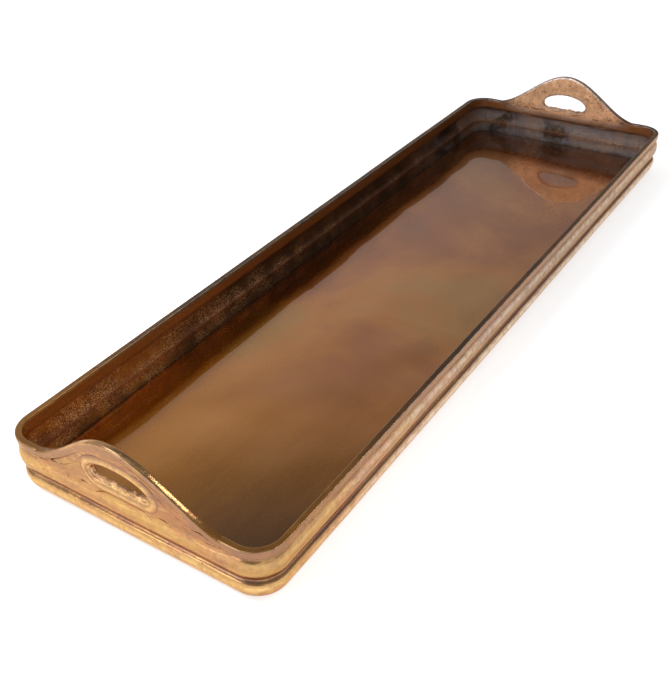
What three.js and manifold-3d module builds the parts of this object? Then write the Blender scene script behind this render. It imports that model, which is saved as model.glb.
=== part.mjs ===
// Long brass serving tray with an arched handle at each end.
// Units are millimetres, +Z is up, +X runs along the tray, +Y to its left side.
// The origin is the middle of the underside, on the plane the felt pads stand on.
import * as THREE from 'three';
import { ParametricGeometry } from 'three/addons/geometries/ParametricGeometry.js';
import { mergeVertices } from 'three/addons/utils/BufferGeometryUtils.js';
import Module from 'manifold-3d';

const wasm = await Module();
wasm.setup();

// ---------- driving dimensions ----------
const trayLength = 824;        // over the lip, without the handles' outward lean
const trayWidth = 260;         // over the lip
const wallHeight = 50;         // foot of the wall to the top of the lip
const cornerRadius = 26;       // plan radius of the lip's outer edge
const padThickness = 1.7;      // felt pad
const jointGap = 0.3;          // room for solder, braze or glue between two pieces

// wall section, measured outwards from the lip's outer edge and down from the lip's top
const lipWidth = 5.5;
const lipEdgeRound = 0.9;      // worn edge of the lip
const lipFaceHeight = 6.5;     // outer face of the lip
const creaseDepth = 8.5;       // crease under the lip
const creaseInset = 2;
const upperBandBulge = 1.4;    // how far the upper band stands out past the lip
const grooveDepth = 30;        // groove between the two bands
const grooveInset = 1.4;
const lowerBandBulge = 0.8;
const lowerBandDepth = 37;     // widest level of the lower band
const footInset = 8;           // outer edge of the flat foot
const innerLedgeDepth = 12;    // underside of the lip's inner face
const innerLedgeStep = 1.8;    // undercut behind the lip
const coveThickness = 4;       // wall behind the upper band
const innerRidgeInset = 5.8;   // ridge inside, level with the groove
const lowerCoveInset = 4.7;    // hollow inside, level with the lower band
const floorLineInset = 6.2;    // inside of the wall where the floor meets it
const sideDraft = 2.6;         // how far the long walls lean in from lip to floor

// floor and what carries it
const floorDepth = 43.5;       // top of the floor below the top of the lip
const floorThickness = 2;
const flangeReach = 22;        // inner edge of the foot flange
const tieBarWidth = 20;
const tieBarThickness = 3;
const tieBarX = -62;

// joints between end castings and rails
const jointX = 350;            // plane of the butt joint
const tongueLength = 14;
const tongueInnerInset = 19;
const tongueOuterInset = 11;

// handles
const handleRise = 45;         // top of the arch above the lip
const handleHalfLength = 93;   // where the arch runs out into the lip
const handleFullness = 0.88;   // below 1 broadens the arch
const handleThickness = 5.5;
const handleEdgeRound = 1.1;
const handleLean = 4.2;        // the top of the arch leans out by this
const slotHalfWidth = 28.3;
const slotBottom = 1.8;        // above the lip
const slotTop = 21.5;
const slotEndLevel = 9;        // level of the slot's widest point
const collarReach = 8;         // raised collar round the slot, outside only
const collarHeight = 1.8;
const collarRound = 1.3;

// felt pads
const padRadius = 6;
const padInset = 15.5;         // pad centre from the lip's outer edge
const cornerPadX = 378;

// resolution
const arcSteps = 9;
const beadSteps = 7;
const outlineSteps = 44;

// ---------- values that follow ----------
const footZ = padThickness + jointGap;
const lipZ = footZ + wallHeight;
const floorTopZ = lipZ - floorDepth;
const floorUndersideZ = floorTopZ - floorThickness;
const flangeTopZ = floorUndersideZ - jointGap;
const halfLength = trayLength / 2;
const halfWidth = trayWidth / 2;

// ---------- solid helpers ----------
function toManifold(geometry) {
  const bare = geometry.clone();
  bare.deleteAttribute('normal');
  bare.deleteAttribute('uv');
  const merged = mergeVertices(bare, 1e-5);
  const mesh = new wasm.Mesh({
    numProp: 3,
    vertProperties: new Float32Array(merged.attributes.position.array),
    triVerts: new Uint32Array(merged.index.array),
  });
  return new wasm.Manifold(mesh);
}

function toGeometry(solid) {
  const mesh = solid.getMesh();
  const geometry = new THREE.BufferGeometry();
  geometry.setAttribute('position', new THREE.BufferAttribute(mesh.vertProperties, 3));
  geometry.setIndex(new THREE.BufferAttribute(mesh.triVerts, 1));
  return geometry;
}

function box(xMin, xMax, yMin, yMax, zMin, zMax) {
  const geometry = new THREE.BoxGeometry(xMax - xMin, yMax - yMin, zMax - zMin);
  geometry.translate((xMin + xMax) / 2, (yMin + yMax) / 2, (zMin + zMax) / 2);
  return toManifold(geometry);
}

// ---------- wall section ----------
// An arc of an ellipse about a centre; angles in degrees, 0 points outwards, 90 points down.
function sectionArc(centreOut, centreDown, reachOut, reachDown, fromDeg, toDeg, steps) {
  const points = [];
  for (let i = 0; i <= steps; i += 1) {
    const angle = THREE.MathUtils.degToRad(fromDeg + ((toDeg - fromDeg) * i) / steps);
    points.push(new THREE.Vector2(
      centreOut + reachOut * Math.cos(angle),
      centreDown + reachDown * Math.sin(angle),
    ));
  }
  return points;
}

// A shallow arc between two points that bows outwards by bow at its middle.
function bowed(from, to, bow, steps) {
  const points = [];
  for (let i = 0; i <= steps; i += 1) {
    const t = i / steps;
    const point = from.clone().lerp(to, t);
    point.x += bow * 4 * t * (1 - t);
    points.push(point);
  }
  return points;
}

function wallSection() {
  const crease = new THREE.Vector2(-creaseInset, creaseDepth);
  const groove = new THREE.Vector2(-grooveInset, grooveDepth);
  const upperBow = upperBandBulge + (creaseInset + grooveInset) / 2;
  const ledge = new THREE.Vector2(-lipWidth + innerLedgeStep, innerLedgeDepth + 0.4);
  const ridge = new THREE.Vector2(-innerRidgeInset, grooveDepth);
  const coveBow = upperBandBulge - coveThickness - (ledge.x + ridge.x) / 2;
  const floorCorner = new THREE.Vector2(-floorLineInset, floorDepth - 0.6);
  const lowerBow = (ridge.x + floorCorner.x) / -2 - lowerCoveInset;
  const points = [
    new THREE.Vector2(-lipEdgeRound, 0),
    new THREE.Vector2(-lipEdgeRound * 0.3, lipEdgeRound * 0.3),
    new THREE.Vector2(0, lipEdgeRound),
    new THREE.Vector2(0, lipFaceHeight),
    ...bowed(crease, groove, upperBow, beadSteps),
    ...sectionArc(-grooveInset, lowerBandDepth, grooveInset + lowerBandBulge,
      lowerBandDepth - grooveDepth, -90, 0, 4).slice(1),
    ...sectionArc(-footInset, lowerBandDepth, footInset + lowerBandBulge,
      wallHeight - lowerBandDepth, 0, 90, beadSteps).slice(1),
    new THREE.Vector2(-flangeReach, wallHeight),
    new THREE.Vector2(-flangeReach, lipZ - flangeTopZ),
    new THREE.Vector2(-floorLineInset, lipZ - flangeTopZ),
    ...bowed(floorCorner, ridge, lowerBow, 5),
    ...bowed(ridge, ledge, coveBow, beadSteps).slice(1),
    new THREE.Vector2(-lipWidth, innerLedgeDepth),
    new THREE.Vector2(-lipWidth, lipEdgeRound),
    new THREE.Vector2(-lipWidth + lipEdgeRound * 0.3, lipEdgeRound * 0.3),
    new THREE.Vector2(-lipWidth + lipEdgeRound, 0),
  ];
  return points.reverse();
}

// Lean of the long walls at a level below the lip.
function draftAt(depth) {
  return (sideDraft * Math.min(depth, floorDepth)) / floorDepth;
}

// One point of the wall: a section point carried round the tray's rounded rectangle.
function wallPoint(sectionPoint, quadrant, cornerT, target) {
  const draft = draftAt(sectionPoint.y);
  const radius = cornerRadius + sectionPoint.x;
  const angle = (quadrant + cornerT) * (Math.PI / 2);
  const signX = quadrant === 0 || quadrant === 3 ? 1 : -1;
  const signY = quadrant < 2 ? 1 : -1;
  const centreX = signX * (halfLength - cornerRadius);
  const centreY = signY * (halfWidth - cornerRadius - draft);
  target.set(
    centreX + radius * Math.cos(angle),
    centreY + radius * Math.sin(angle),
    lipZ - sectionPoint.y,
  );
}

// The whole wall as one closed ring; the castings and rails are cut from it.
function wallRing() {
  const section = wallSection();
  const stations = 4 * (arcSteps + 1);
  const geometry = new ParametricGeometry((u, v, target) => {
    const station = Math.round(u * stations) % stations;
    const sectionIndex = Math.round(v * section.length) % section.length;
    const quadrant = Math.floor(station / (arcSteps + 1));
    const cornerT = (station % (arcSteps + 1)) / arcSteps;
    wallPoint(section[sectionIndex], quadrant, cornerT, target);
  }, stations, section.length);
  return toManifold(geometry);
}

// ---------- handle ----------
function archHeight(y) {
  const t = Math.min(Math.abs(y) / handleHalfLength, 1);
  return handleRise * (0.5 + 0.5 * Math.cos(Math.PI * t)) ** handleFullness;
}

// Handle outline in (y, height above the lip); its lower edge is buried in the lip.
function handleShape() {
  const shape = new THREE.Shape();
  const buried = -lipFaceHeight;
  shape.moveTo(-handleHalfLength, buried);
  shape.lineTo(handleHalfLength, buried);
  for (let i = 0; i <= outlineSteps; i += 1) {
    const y = handleHalfLength * (1 - (2 * i) / outlineSteps);
    shape.lineTo(y, archHeight(y) - handleEdgeRound * 0.2);
  }
  return shape;
}

// Finger slot outline grown outwards by grow: flat below, arched above, round ends.
function slotShape(grow) {
  const shape = new THREE.Shape();
  const side = slotHalfWidth + grow;
  const low = slotBottom - grow;
  const high = slotTop + grow;
  const turn = side * 0.62;
  shape.moveTo(-side, slotEndLevel);
  shape.bezierCurveTo(-side, low + grow * 0.3, -side * 0.88, low, -turn, low);
  shape.lineTo(turn, low);
  shape.bezierCurveTo(side * 0.88, low, side, low + grow * 0.3, side, slotEndLevel);
  shape.bezierCurveTo(side, slotEndLevel + 7, side * 0.5, high, 0, high);
  shape.bezierCurveTo(-side * 0.5, high, -side, slotEndLevel + 7, -side, slotEndLevel);
  return shape;
}

// Extrudes an outline drawn in (y, height) along +X from xStart.
function uprightPlate(shape, xStart, thickness, round, curveSegments) {
  const geometry = new THREE.ExtrudeGeometry(shape, {
    depth: thickness - 2 * round,
    bevelEnabled: round > 0,
    bevelThickness: round,
    bevelSize: round,
    bevelOffset: -round,
    bevelSegments: 2,
    curveSegments,
  });
  geometry.rotateX(Math.PI / 2);
  geometry.rotateZ(Math.PI / 2);
  geometry.translate(xStart + round, 0, lipZ);
  leanOut(geometry);
  return toManifold(geometry);
}

// Leans everything above the buried edge outwards, in proportion to its height.
function leanOut(geometry) {
  const position = geometry.attributes.position;
  const start = lipZ - lipFaceHeight;
  for (let i = 0; i < position.count; i += 1) {
    const rise = Math.max(position.getZ(i) - start, 0);
    const lean = (handleLean * rise) / (handleRise + lipFaceHeight);
    position.setX(i, position.getX(i) + lean);
  }
  position.needsUpdate = true;
}

// Handle of the +X end, before its slot is cut.
function handleBody() {
  const plateX = halfLength - handleThickness;
  const plate = uprightPlate(handleShape(), plateX, handleThickness, handleEdgeRound, 6);
  const collar = uprightPlate(
    slotShape(collarReach), halfLength - 2, 2 + collarHeight, collarRound, 8,
  );
  return plate.add(collar);
}

function slotCutter() {
  const margin = 10;
  const thickness = handleThickness + collarHeight + 2 * margin;
  const start = halfLength - handleThickness - margin;
  return uprightPlate(slotShape(0), start, thickness, 0, 8);
}

// ---------- tongues of the rails ----------
function tongueZone(signX, signY, grow) {
  const draft = draftAt(wallHeight);
  const near = halfWidth - draft - tongueInnerInset - grow;
  const far = halfWidth - draft - tongueOuterInset + grow;
  const tip = jointX + tongueLength + grow;
  const root = jointX - 2;
  return box(
    signX > 0 ? root : -tip, signX > 0 ? tip : -root,
    signY > 0 ? near : -far, signY > 0 ? far : -near,
    footZ - 1, flangeTopZ + 0.001,
  );
}

// ---------- pieces ----------
const ring = wallRing();
const reach = trayLength;

function endCasting(signX) {
  const start = jointX + jointGap / 2;
  const half = signX > 0
    ? box(start, reach, -reach, reach, -reach, reach)
    : box(-reach, -start, -reach, reach, -reach, reach);
  const angle = signX > 0 ? 0 : 180;
  const handle = handleBody().rotate([0, 0, angle]);
  const slot = slotCutter().rotate([0, 0, angle]);
  return ring.intersect(half)
    .add(handle)
    .subtract(slot)
    .subtract(tongueZone(signX, 1, jointGap))
    .subtract(tongueZone(signX, -1, jointGap));
}

function sideRail(signY) {
  const end = jointX - jointGap / 2;
  const span = signY > 0
    ? box(-end, end, 0, reach, -reach, reach)
    : box(-end, end, -reach, 0, -reach, reach);
  const tongues = tongueZone(1, signY, 0).add(tongueZone(-1, signY, 0));
  return ring.intersect(span).add(ring.intersect(tongues));
}

function floorPlate() {
  const sideX = halfLength - floorLineInset - jointGap;
  const sideY = halfWidth - draftAt(floorDepth) - floorLineInset - jointGap;
  const radius = cornerRadius - floorLineInset - jointGap;
  const shape = new THREE.Shape();
  shape.moveTo(sideX, -sideY + radius);
  shape.lineTo(sideX, sideY - radius);
  shape.absarc(sideX - radius, sideY - radius, radius, 0, Math.PI / 2);
  shape.lineTo(-sideX + radius, sideY);
  shape.absarc(-sideX + radius, sideY - radius, radius, Math.PI / 2, Math.PI);
  shape.lineTo(-sideX, -sideY + radius);
  shape.absarc(-sideX + radius, -sideY + radius, radius, Math.PI, 1.5 * Math.PI);
  shape.lineTo(sideX - radius, -sideY);
  shape.absarc(sideX - radius, -sideY + radius, radius, 1.5 * Math.PI, 2 * Math.PI);
  const geometry = new THREE.ExtrudeGeometry(shape, {
    depth: floorThickness, bevelEnabled: false, curveSegments: arcSteps,
  });
  geometry.translate(0, 0, floorUndersideZ);
  return toManifold(geometry);
}

function floorTieBar() {
  const end = halfWidth - draftAt(wallHeight) - flangeReach - jointGap;
  const top = flangeTopZ;
  return box(
    tieBarX - tieBarWidth / 2, tieBarX + tieBarWidth / 2,
    -end, end, top - tieBarThickness, top,
  );
}

function feltPad(x, signY) {
  const geometry = new THREE.CylinderGeometry(padRadius, padRadius, padThickness, 20);
  geometry.rotateX(Math.PI / 2);
  const y = signY * (halfWidth - draftAt(wallHeight) - padInset);
  geometry.translate(x, y, padThickness / 2);
  return toManifold(geometry);
}

// ---------- finishes ----------
const finishes = {
  cast_brass: { color: 0xb07a45, metalness: 1, roughness: 0.38 },
  floor_brass: { color: 0x7a4d22, metalness: 1, roughness: 0.22 },
  bar_brass: { color: 0x9c7440, metalness: 1, roughness: 0.5 },
  felt: { color: 0x2c2a27, metalness: 0, roughness: 0.95 },
};

const tray = new THREE.Group();
tray.name = 'brass_tray';

function place(name, solid, finish) {
  const material = new THREE.MeshStandardMaterial(finishes[finish]);
  material.name = finish;
  const mesh = new THREE.Mesh(toGeometry(solid), material);
  mesh.name = name;
  tray.add(mesh);
}

place('end_casting_front', endCasting(1), 'cast_brass');
place('end_casting_rear', endCasting(-1), 'cast_brass');
place('side_rail_left', sideRail(1), 'cast_brass');
place('side_rail_right', sideRail(-1), 'cast_brass');
place('floor_plate', floorPlate(), 'floor_brass');
place('floor_tie_bar', floorTieBar(), 'bar_brass');
place('felt_pad_front_left', feltPad(cornerPadX, 1), 'felt');
place('felt_pad_front_right', feltPad(cornerPadX, -1), 'felt');
place('felt_pad_middle_left', feltPad(0, 1), 'felt');
place('felt_pad_middle_right', feltPad(0, -1), 'felt');
place('felt_pad_rear_left', feltPad(-cornerPadX, 1), 'felt');
place('felt_pad_rear_right', feltPad(-cornerPadX, -1), 'felt');

export default tray;
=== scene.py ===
# %% [markdown]
# # A long brass tray with two arched handles
# The tray is made of sand-cast brass: two end castings, each with its corners and its handle, two straight
# side rails with the same section, and a smooth sheet let in as the floor. The metal is polished outside,
# left with its sand grain inside, and the floor lies under a brown patina and clear lacquer.
# This lesson makes the castings, rails, floor and pads from a few points with bmesh operators, keeps the
# plain bar as it is drawn, and mixes the finishes from noise.

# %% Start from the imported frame
import math

import bmesh
import bpy
from mathutils import Matrix, Vector, noise


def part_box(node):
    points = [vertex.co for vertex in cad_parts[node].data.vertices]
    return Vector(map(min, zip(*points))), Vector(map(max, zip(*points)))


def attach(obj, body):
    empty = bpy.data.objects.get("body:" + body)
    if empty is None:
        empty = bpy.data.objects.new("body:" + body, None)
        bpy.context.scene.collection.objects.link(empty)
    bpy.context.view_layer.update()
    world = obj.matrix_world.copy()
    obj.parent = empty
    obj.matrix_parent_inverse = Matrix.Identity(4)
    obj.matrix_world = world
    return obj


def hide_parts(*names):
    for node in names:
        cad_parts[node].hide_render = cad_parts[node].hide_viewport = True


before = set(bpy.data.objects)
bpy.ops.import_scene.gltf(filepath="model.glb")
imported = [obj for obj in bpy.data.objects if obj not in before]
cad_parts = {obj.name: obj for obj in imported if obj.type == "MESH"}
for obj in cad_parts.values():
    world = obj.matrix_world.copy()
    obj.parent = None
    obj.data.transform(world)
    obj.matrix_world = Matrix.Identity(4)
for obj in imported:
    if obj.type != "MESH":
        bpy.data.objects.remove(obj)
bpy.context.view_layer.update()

# %% [markdown]
# The sizes are those of the castings. Lengths in this file are metres, and the value MM lets them be
# written in millimetres, which are easier to read for metalwork this small.

# %% Sizes
MM = 0.001
LIP_Z = 52.0 * MM
HALF_LENGTH = 412.0 * MM
HALF_WIDTH = 130.0 * MM
CORNER_RADIUS = 26.0 * MM
WALL_HEIGHT = 50.0 * MM
LIP_WIDTH = 5.5 * MM
LIP_ROUND = 0.9 * MM
LIP_FACE = 6.5 * MM
CREASE_DEPTH = 8.5 * MM
CREASE_INSET = 2.0 * MM
UPPER_BULGE = 1.4 * MM
GROOVE_DEPTH = 30.0 * MM
GROOVE_TOP = 28.8 * MM
GROOVE_INSET = 1.8 * MM
LOWER_BULGE = 0.8 * MM
LOWER_LEVEL = 37.0 * MM
LOWER_RISE = 5.2 * MM
FOOT_INSET = 8.0 * MM
LEDGE_DEPTH = 12.0 * MM
LEDGE_STEP = 1.8 * MM
COVE_WALL = 4.0 * MM
RIDGE_INSET = 5.8 * MM
LOWER_COVE_INSET = 4.7 * MM
FLOOR_LINE_INSET = 6.2 * MM
FLOOR_DEPTH = 43.5 * MM
FLOOR_THICKNESS = 2.0 * MM
FLANGE_REACH = 22.0 * MM
FLANGE_TOP_DEPTH = FLOOR_DEPTH + FLOOR_THICKNESS + 0.3 * MM
SIDE_DRAFT = 2.6 * MM
HANDLE_RISE = 45.0 * MM
JOINT_X = 350.0 * MM
TONGUE_LENGTH = 14.0 * MM
TONGUE_INNER = 19.0 * MM
TONGUE_OUTER = 11.0 * MM
TONGUE_THICKNESS = 3.0 * MM
TONGUE_LIFT = 1.45 * MM
TONGUE_BURIED = 1.0 * MM
BAR_X = -62.0 * MM
print("lip", 2 * HALF_LENGTH, "x", 2 * HALF_WIDTH, "m, wall", WALL_HEIGHT, "m")

# %% [markdown]
# ## The wall's section
# On the real tray one section runs all round: a flat lip, a crease, two rounded bands with a groove between
# them, and inside a ledge under the lip, a cove and a ridge. It could be a curve with a bevel object, but a
# loop of vertices lets each point carry marks along with it: where the metal is worn bright and a highlight
# is painted, where painted shade darkens creases, grooves and gaps, which side was left as it came out of
# the sand, and where the brown tone stayed on.

# %% Points of the section
# Each point is (outwards from the lip's outer edge, depth below the lip, and its four marks).
def arc_points(centre, reach, start, end, steps, marks):
    """Points on a quarter-like arc; 0 degrees points outwards and 90 points down."""
    points = []
    for i in range(steps + 1):
        angle = math.radians(start + (end - start) * i / steps)
        out = centre[0] + reach[0] * math.cos(angle)
        depth = centre[1] + reach[1] * math.sin(angle)
        points.append((out, depth, *marks(i / steps)))
    return points


def bowed_points(start, end, bow, steps, marks):
    """Points between two ends that swell outwards by bow in the middle."""
    points = []
    for i in range(steps + 1):
        t = i / steps
        out = start[0] + (end[0] - start[0]) * t + bow * 4 * t * (1 - t)
        depth = start[1] + (end[1] - start[1]) * t
        points.append((out, depth, *marks(t)))
    return points


def band_marks(t):
    """Wear and a painted highlight high on the crown, painted shade in the crease, tone towards the groove.
    """
    crown = math.sin(math.pi * t)
    wear_and_highlight = 0.34 * math.exp(-((t - 0.27) / 0.15) ** 2) + 0.10 * crown ** 2
    painted_shade = max(0.0, 0.7 - crown * 3.0) * (1.0 if t < 0.5 else 0.30)
    return (wear_and_highlight, painted_shade, 0.0, 0.42 * (1 - crown) ** 2 + 0.25 * max(0.0, t - 0.60) / 0.40)


def cove_marks(t):
    return (0.0, max(0.0, 0.8 - math.sin(math.pi * t) * 2.5), 1.0, 0.0)


def wall_section():
    upper_bow = UPPER_BULGE + (CREASE_INSET + GROOVE_INSET) / 2
    ledge = (-LIP_WIDTH + LEDGE_STEP, LEDGE_DEPTH + 0.5 * MM)
    ridge = (-RIDGE_INSET, GROOVE_DEPTH)
    cove_bow = UPPER_BULGE - COVE_WALL - (ledge[0] + ridge[0]) / 2
    floor_corner = (-FLOOR_LINE_INSET, FLOOR_DEPTH - 0.5 * MM)
    lower_bow = (RIDGE_INSET + FLOOR_LINE_INSET) / 2 - LOWER_COVE_INSET
    points = []
    # The lip's rounded edges are paled along their middle by wear and a painted highlight.
    points += arc_points((-LIP_ROUND, LIP_ROUND), (LIP_ROUND, LIP_ROUND), -90, 0, 3,
                         lambda t: (0.45 * math.sin(math.pi * t), 0.0, 0.0, 1.0 - 0.6 * t))
    points += [(0.0, 3.0 * MM, 0.10, 0.0, 0.0, 0.42), (0.0, 5.2 * MM, 0.05, 0.05, 0.0, 0.45)]
    # Painted shade darkens the crease under the lip's face.
    points += arc_points((-1.0 * MM, LIP_FACE - 0.2 * MM), (1.0 * MM, 1.0 * MM), 20, 80, 3,
                         lambda t: (0.1, 0.2 + 0.5 * t, 0.0, 0.5))
    points += bowed_points((-CREASE_INSET, CREASE_DEPTH), (-GROOVE_INSET, GROOVE_TOP),
                           upper_bow, 14, band_marks)
    # Painted shade in the groove.
    points += [(-GROOVE_INSET - 0.30 * MM, GROOVE_DEPTH - 0.35 * MM, 0.0, 0.15, 0.0, 0.40),
               (-GROOVE_INSET - 0.35 * MM, GROOVE_DEPTH + 0.60 * MM, 0.0, 0.30, 0.0, 0.42),
               (-GROOVE_INSET + 0.10 * MM, GROOVE_DEPTH + 1.45 * MM, 0.0, 0.10, 0.0, 0.35)]
    # The lower band's crown is paled by some wear and a painted reflection of the bright floor; painted
    # shade lies under it.
    points += arc_points((-GROOVE_INSET, LOWER_LEVEL), (GROOVE_INSET + LOWER_BULGE, LOWER_RISE),
                         -70, 0, 6, lambda t: (1.0 * t ** 2, 0.0, 0.0, 0.3 * (1 - t)))
    points += arc_points((-FOOT_INSET, LOWER_LEVEL), (FOOT_INSET + LOWER_BULGE, WALL_HEIGHT - LOWER_LEVEL),
                         0, 90, 12, lambda t: (1.0 * (1 - t) ** 3, 0.3 * t, 0.0, 0.5 * t))[1:]
    # The flange in the floor's gap is painted dark as shadow.
    points += [(-FLANGE_REACH, WALL_HEIGHT, 0.1, 0.2, 1.0, 0.0),
               (-FLANGE_REACH, FLANGE_TOP_DEPTH, 0.0, 0.5, 1.0, 0.0),
               (-FLOOR_LINE_INSET, FLANGE_TOP_DEPTH, 0.0, 1.0, 1.0, 0.0)]
    # Painted shade along the floor line, and wear with a painted highlight on the ridge.
    points += bowed_points(floor_corner, ridge, lower_bow, 8,
                           lambda t: (0.5 * t ** 3, max(0.0, 1 - 3.0 * t), 1.0, 0.0))
    points += bowed_points(ridge, ledge, cove_bow, 16,
                           lambda t: (0.5 * (1 - t) ** 6, max(0.0, (t - 0.75) * 4) ** 2, 1.0, 0.0))[1:]
    # Painted shadow under the ledge.
    points += [(-LIP_WIDTH + 0.5 * MM, LEDGE_DEPTH + 0.2 * MM, 0.0, 0.7, 1.0, 0.5),
               (-LIP_WIDTH, LEDGE_DEPTH - 0.6 * MM, 0.0, 0.45, 0.95, 0.5),
               (-LIP_WIDTH, LEDGE_DEPTH - 3.0 * MM, 0.05, 0.05, 0.90, 0.5),
               (-LIP_WIDTH, 3.0 * MM, 0.05, 0.0, 0.80, 0.7)]
    points += arc_points((-LIP_WIDTH + LIP_ROUND, LIP_ROUND), (LIP_ROUND, LIP_ROUND), 180, 270, 3,
                         lambda t: (0.40 * math.sin(math.pi * t), 0.0, 0.25 * (1 - t), 1.0))
    points += [(-LIP_WIDTH + 1.5 * MM, 0.0, 0.0, 0.0, 0.0, 1.0),
               (-LIP_WIDTH * 0.5, 0.0, 0.0, 0.0, 0.0, 1.0),
               (-1.5 * MM, 0.0, 0.0, 0.0, 0.0, 1.0)]
    return points


SECTION = wall_section()
print("section points", len(SECTION))

# %% [markdown]
# ## Marks that travel with the metal
# bmesh copies a vertex's own layers when it extrudes or spins it. So the marks are set once, on the
# section, and every later ring of vertices carries them. The finishes read them as attributes.

# %% Bmesh helpers
# The first mark is wear together with a painted highlight, the second painted shade in creases, grooves,
# gaps and the slot; the others say which side of the wall it is and how toned the metal is.
MARKS = ("wear_and_highlight", "hollow_shade", "inner_side", "toned")


def start_mesh():
    bm = bmesh.new()
    for name in MARKS:
        bm.verts.layers.float.new(name)
    return bm


def set_marks(bm, vert, values):
    for name, value in zip(MARKS, values):
        vert[bm.verts.layers.float[name]] = value


def only(kind, items):
    return [item for item in items if isinstance(item, kind)]


def section_loop(bm, x, side):
    """The section as a closed loop of edges across the long wall at x, on side +1 or -1 of the tray."""
    verts = []
    for out, depth, *marks in SECTION:
        vert = bm.verts.new((x, side * (HALF_WIDTH + out), LIP_Z - depth))
        set_marks(bm, vert, marks)
        verts.append(vert)
    return [bm.edges.new((verts[i - 1], verts[i])) for i in range(len(verts))]


def pull(bm, edges, step, count):
    """Extrudes a loop of edges count times by step and returns the last loop."""
    for _ in range(count):
        result = bmesh.ops.extrude_edge_only(bm, edges=edges)
        edges = only(bmesh.types.BMEdge, result["geom"])
        bmesh.ops.translate(bm, verts=only(bmesh.types.BMVert, result["geom"]), vec=step)
    return edges


def turn(bm, edges, centre, degrees, steps):
    """Spins a loop of edges about an upright axis and returns the last loop."""
    result = bmesh.ops.spin(bm, geom=edges, cent=centre, axis=(0, 0, 1), dvec=(0, 0, 0),
                            angle=math.radians(degrees), steps=steps, use_merge=False)
    return only(bmesh.types.BMEdge, result["geom_last"])


def close_end(bm, edges):
    """Fills a loop and keeps its rim sharp, so that the joint's face doesn't bend the shading."""
    result = bmesh.ops.edgeloop_fill(bm, edges=edges)
    for edge in edges:
        edge.smooth = False
    bmesh.ops.triangulate(bm, faces=result["faces"])


# %% [markdown]
# ## Nothing cast in sand is dead straight
# The long walls lean in a little so that the pattern could leave the sand, and every face wanders by a few
# tenths of a millimetre. One function of place moves all castings alike, so their joints still meet.

# %% Draft and wander of the castings
WANDER = 0.35 * MM
TIGHT_SHARE = 0.32
UPRIGHT_SHARE = 0.6
STILL_BELOW = 2.0 * MM
STILL_FADE = 6.0 * MM
EDGE_SHRINK = 0.4 * MM
WELD = 1e-6

# Vector noise takes its offsets from the clock unless it is seeded, and each run has to be the same.
WANDER_SEED = 7
noise.seed_set(WANDER_SEED)


def draft_at(depth):
    return SIDE_DRAFT * min(max(depth, 0.0), FLOOR_DEPTH) / FLOOR_DEPTH


def wander_at(point):
    """A slow sideways drift and a tighter ripple, the same for every casting at the same place."""
    slow = noise.noise_vector(point * 9.0 + Vector((3.1, 7.7, 1.9)))
    tight = noise.noise_vector(point * 38.0 + Vector((11.3, 2.2, 5.4)))
    move = slow * WANDER + tight * (WANDER * TIGHT_SHARE)
    return Vector((move.x, move.y, move.z * UPRIGHT_SHARE))


def settle(bm):
    """Leans the long walls, then lets all but the foot wander, kept just inside the drawn size."""
    corner_y = HALF_WIDTH - CORNER_RADIUS
    for vert in bm.verts:
        share = min(1.0, abs(vert.co.y) / corner_y)
        vert.co.y -= math.copysign(draft_at(LIP_Z - vert.co.z) * share, vert.co.y)
    for vert in bm.verts:
        low = min(1.0, max(0.0, (vert.co.z - STILL_BELOW) / STILL_FADE))
        vert.co += wander_at(vert.co) * low
        vert.co.x -= math.copysign(EDGE_SHRINK * min(1.0, abs(vert.co.x) / HALF_LENGTH) ** 8, vert.co.x)
        vert.co.y -= math.copysign(EDGE_SHRINK * min(1.0, abs(vert.co.y) / HALF_WIDTH) ** 2, vert.co.y)
        vert.co.z -= EDGE_SHRINK * min(1.0, max(0.0, vert.co.z - LIP_Z) / HANDLE_RISE)


def finish_mesh(bm, name, material):
    """Welds, faces the normals outwards, shades smooth and hands over an object at the origin."""
    bmesh.ops.remove_doubles(bm, verts=bm.verts, dist=WELD)
    bmesh.ops.recalc_face_normals(bm, faces=bm.faces)
    for face in bm.faces:
        face.smooth = True
    mesh = bpy.data.meshes.new(name)
    bm.to_mesh(mesh)
    bm.free()
    mesh.materials.append(material)
    obj = bpy.data.objects.new(name, mesh)
    bpy.context.scene.collection.objects.link(obj)
    print(name, "faces", len(mesh.polygons), "size mm", [round(v * 1000, 1) for v in obj.dimensions])
    return obj

# %% [markdown]
# ## Finishes
# The metal isn't one colour. Heat, hands, polish and lacquer leave gold, copper, mauve and nearly black
# brown beside each other. Painted textures could show that, but noise nodes stay sharp at any size and fit
# any shape. A few helpers keep each finish readable: every one adds a node and returns its output.

# %% Node helpers
def new_finish(name):
    """A material with only its shader; returns the material, its tree and the shader."""
    material = bpy.data.materials.new(name)
    material.use_nodes = True
    tree = material.node_tree
    return material, tree, tree.nodes["Principled BSDF"]


def feed(tree, socket, value):
    """Sets a socket to a number or colour, or links another node's output to it."""
    if isinstance(value, bpy.types.NodeSocket):
        tree.links.new(value, socket)
    elif isinstance(value, tuple):
        socket.default_value = (*value, 1.0)[:len(socket.default_value)]
    else:
        socket.default_value = value


def place(tree, shift=(0, 0, 0), stretch=(1, 1, 1)):
    """Object coordinates, shifted and stretched."""
    coords = tree.nodes.new("ShaderNodeTexCoord")
    mapping = tree.nodes.new("ShaderNodeMapping")
    tree.links.new(coords.outputs["Object"], mapping.inputs["Vector"])
    mapping.inputs["Location"].default_value = shift
    mapping.inputs["Scale"].default_value = stretch
    return mapping.outputs["Vector"]


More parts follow.
